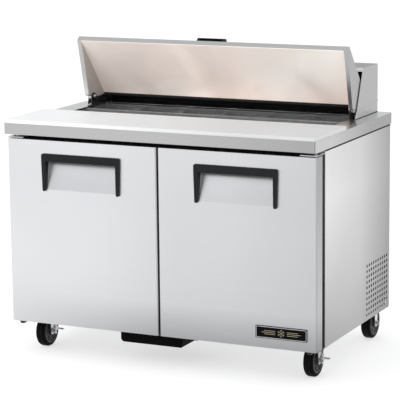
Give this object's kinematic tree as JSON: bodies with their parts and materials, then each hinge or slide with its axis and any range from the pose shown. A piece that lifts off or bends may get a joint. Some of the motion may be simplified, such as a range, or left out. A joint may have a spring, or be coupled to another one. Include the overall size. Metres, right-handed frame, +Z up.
{
  "type": "sandwich prep table",
  "caption": "Refrigerated sandwich prep table: two-door stainless cabinet on casters with a full-width cutting board, drop-in pans and a lid that tips back into a hood.",
  "frame": {"origin": "on the floor under the middle of the table's outline, 17.5 mm behind the middle of the worktop", "axes": "+X to the object's left-to-right as seen from the front, +Y to the rear (the doors face -Y), +Z up"},
  "size_m": [1.229, 0.801, 1.1535],
  "materials": {
    "stainless_top": "satin",
    "stainless_panel": "satin",
    "stainless_lid": "satin",
    "galvanised": "satin",
    "aluminium_liner": "satin",
    "polyethylene_board": "satin",
    "black_plastic": "satin",
    "black_seal": "matte",
    "clear_pan": "gloss",
    "foam": "matte",
    "zinc": "satin",
    "wheel_rubber": "satin",
    "coated_wire": "satin",
    "fin_aluminium": "satin",
    "black_enamel": "gloss",
    "plate_black": "satin"
  },
  "bodies": {
    "cabinet": {"worktop": "stainless_top", "pan_opening_frame": "black_plastic", "pan_divider_bar": "stainless_top", "side_panel_left": "stainless_panel", "side_panel_right": "stainless_panel", "back_panel": "galvanised", "base_frame": "galvanised", "insulation": "foam", "cabinet_liner": "aluminium_liner", "front_frame": "black_plastic", "hood_shell": "stainless_lid", "hood_liner": "black_plastic", "lid_pivots": "black_enamel", "door_hinges": "zinc", "shelves": "coated_wire", "shelf_pilasters": "zinc", "evaporator": "fin_aluminium", "condensate_pan": "black_plastic"},
    "board": {"cutting_board": "polyethylene_board"},
    "door_left": {"door_left_skin": "stainless_panel", "door_left_liner": "aluminium_liner", "door_left_gasket": "black_seal", "door_left_handle": "black_plastic"},
    "door_right": {"door_right_skin": "stainless_panel", "door_right_liner": "aluminium_liner", "door_right_gasket": "black_seal", "door_right_handle": "black_plastic", "nameplate": "plate_black"},
    "lid": {"lid_shell": "stainless_lid", "lid_liner": "stainless_lid", "lid_handle": "black_plastic"},
    "evap_fan": {"evaporator_fan": "black_plastic"},
    "knob": {"control_knob": "black_plastic"},
    "condensing_unit": {"condensing_tray": "galvanised", "compressor": "black_enamel", "condenser_coil": "fin_aluminium", "rear_grille": "galvanised"},
    "cond_fan": {"condenser_fan": "fin_aluminium"},
    "body_pan_front_1": {"pan_front_1": "clear_pan"},
    "body_pan_front_2": {"pan_front_2": "clear_pan"},
    "body_pan_front_3": {"pan_front_3": "clear_pan"},
    "body_pan_front_4": {"pan_front_4": "clear_pan"},
    "body_pan_front_5": {"pan_front_5": "clear_pan"},
    "body_pan_front_6": {"pan_front_6": "clear_pan"},
    "body_pan_rear_1": {"pan_rear_1": "clear_pan"},
    "body_pan_rear_2": {"pan_rear_2": "clear_pan"},
    "body_pan_rear_3": {"pan_rear_3": "clear_pan"},
    "body_pan_rear_4": {"pan_rear_4": "clear_pan"},
    "body_pan_rear_5": {"pan_rear_5": "clear_pan"},
    "body_pan_rear_6": {"pan_rear_6": "clear_pan"},
    "caster_front_left": {"caster_fork_front_left": "zinc"},
    "wheel_front_left": {"caster_wheel_front_left": "wheel_rubber"},
    "brake_left": {"brake_lever_left": "zinc"},
    "caster_front_right": {"caster_fork_front_right": "zinc"},
    "wheel_front_right": {"caster_wheel_front_right": "wheel_rubber"},
    "brake_right": {"brake_lever_right": "zinc"},
    "caster_rear_left": {"caster_fork_rear_left": "zinc"},
    "wheel_rear_left": {"caster_wheel_rear_left": "wheel_rubber"},
    "caster_rear_right": {"caster_fork_rear_right": "zinc"},
    "wheel_rear_right": {"caster_wheel_rear_right": "wheel_rubber"}
  },
  "joints": [
    {"name": "door_left_hinge", "type": "hinge", "parent": "cabinet", "child": "door_left", "pos_m": [-0.596, -0.3575, 0.468], "axis": [0, 0, -1], "range_deg": [0, 105]},
    {"name": "door_right_hinge", "type": "hinge", "parent": "cabinet", "child": "door_right", "pos_m": [0.596, -0.3575, 0.468], "axis": [0, 0, 1], "range_deg": [0, 105]},
    {"name": "lid_hinge", "type": "hinge", "parent": "cabinet", "child": "lid", "pos_m": [0, 0.1475, 0.905], "axis": [-1, 0, 0], "range_deg": [-76, 0]},
    {"name": "cutting_board_lift", "type": "slide", "parent": "cabinet", "child": "board", "axis": [0, 0, 1], "range_m": [0, 0.12]},
    {"name": "pan_front_1_lift", "type": "slide", "parent": "cabinet", "child": "body_pan_front_1", "axis": [0, 0, 1], "range_m": [0, 0.11]},
    {"name": "pan_front_2_lift", "type": "slide", "parent": "cabinet", "child": "body_pan_front_2", "axis": [0, 0, 1], "range_m": [0, 0.11]},
    {"name": "pan_front_3_lift", "type": "slide", "parent": "cabinet", "child": "body_pan_front_3", "axis": [0, 0, 1], "range_m": [0, 0.11]},
    {"name": "pan_front_4_lift", "type": "slide", "parent": "cabinet", "child": "body_pan_front_4", "axis": [0, 0, 1], "range_m": [0, 0.11]},
    {"name": "pan_front_5_lift", "type": "slide", "parent": "cabinet", "child": "body_pan_front_5", "axis": [0, 0, 1], "range_m": [0, 0.11]},
    {"name": "pan_front_6_lift", "type": "slide", "parent": "cabinet", "child": "body_pan_front_6", "axis": [0, 0, 1], "range_m": [0, 0.11]},
    {"name": "pan_rear_1_lift", "type": "slide", "parent": "cabinet", "child": "body_pan_rear_1", "axis": [0, 0, 1], "range_m": [0, 0.03]},
    {"name": "pan_rear_2_lift", "type": "slide", "parent": "cabinet", "child": "body_pan_rear_2", "axis": [0, 0, 1], "range_m": [0, 0.03]},
    {"name": "pan_rear_3_lift", "type": "slide", "parent": "cabinet", "child": "body_pan_rear_3", "axis": [0, 0, 1], "range_m": [0, 0.03]},
    {"name": "pan_rear_4_lift", "type": "slide", "parent": "cabinet", "child": "body_pan_rear_4", "axis": [0, 0, 1], "range_m": [0, 0.03]},
    {"name": "pan_rear_5_lift", "type": "slide", "parent": "cabinet", "child": "body_pan_rear_5", "axis": [0, 0, 1], "range_m": [0, 0.03]},
    {"name": "pan_rear_6_lift", "type": "slide", "parent": "cabinet", "child": "body_pan_rear_6", "axis": [0, 0, 1], "range_m": [0, 0.03]},
    {"name": "caster_front_left_swivel", "type": "hinge", "parent": "cabinet", "child": "caster_front_left", "pos_m": [-0.543, -0.2715, 0.15], "axis": [0, 0, 1], "continuous": true},
    {"name": "wheel_front_left_spin", "type": "hinge", "parent": "caster_front_left", "child": "wheel_front_left", "pos_m": [-0.543, -0.2435, 0.06], "axis": [1, 0, 0], "continuous": true},
    {"name": "brake_left_press", "type": "hinge", "parent": "caster_front_left", "child": "brake_left", "pos_m": [-0.543, -0.2275, 0.067], "axis": [-1, 0, 0], "range_deg": [0, 10]},
    {"name": "caster_front_right_swivel", "type": "hinge", "parent": "cabinet", "child": "caster_front_right", "pos_m": [0.543, -0.2715, 0.15], "axis": [0, 0, 1], "continuous": true},
    {"name": "wheel_front_right_spin", "type": "hinge", "parent": "caster_front_right", "child": "wheel_front_right", "pos_m": [0.543, -0.2435, 0.06], "axis": [1, 0, 0], "continuous": true},
    {"name": "brake_right_press", "type": "hinge", "parent": "caster_front_right", "child": "brake_right", "pos_m": [0.543, -0.2275, 0.067], "axis": [-1, 0, 0], "range_deg": [0, 10]},
    {"name": "caster_rear_left_swivel", "type": "hinge", "parent": "cabinet", "child": "caster_rear_left", "pos_m": [-0.543, 0.3125, 0.15], "axis": [0, 0, 1], "continuous": true},
    {"name": "wheel_rear_left_spin", "type": "hinge", "parent": "caster_rear_left", "child": "wheel_rear_left", "pos_m": [-0.543, 0.3405, 0.06], "axis": [1, 0, 0], "continuous": true},
    {"name": "caster_rear_right_swivel", "type": "hinge", "parent": "cabinet", "child": "caster_rear_right", "pos_m": [0.543, 0.3125, 0.15], "axis": [0, 0, 1], "continuous": true},
    {"name": "wheel_rear_right_spin", "type": "hinge", "parent": "caster_rear_right", "child": "wheel_rear_right", "pos_m": [0.543, 0.3405, 0.06], "axis": [1, 0, 0], "continuous": true},
    {"name": "evaporator_fan_spin", "type": "hinge", "parent": "cabinet", "child": "evap_fan", "pos_m": [0, 0.2535, 0.52], "axis": [0, 1, 0], "continuous": true},
    {"name": "control_knob_turn", "type": "hinge", "parent": "cabinet", "child": "knob", "pos_m": [0.19, 0.2275, 0.6], "axis": [0, -1, 0], "range_deg": [0, 270]},
    {"name": "condensing_unit_slide", "type": "slide", "parent": "cabinet", "child": "condensing_unit", "axis": [0, 1, 0], "range_m": [0, 0.24]},
    {"name": "condenser_fan_spin", "type": "hinge", "parent": "condensing_unit", "child": "cond_fan", "pos_m": [0.463, 0.2285, 0.238], "axis": [1, 0, 0], "continuous": true}
  ]
}
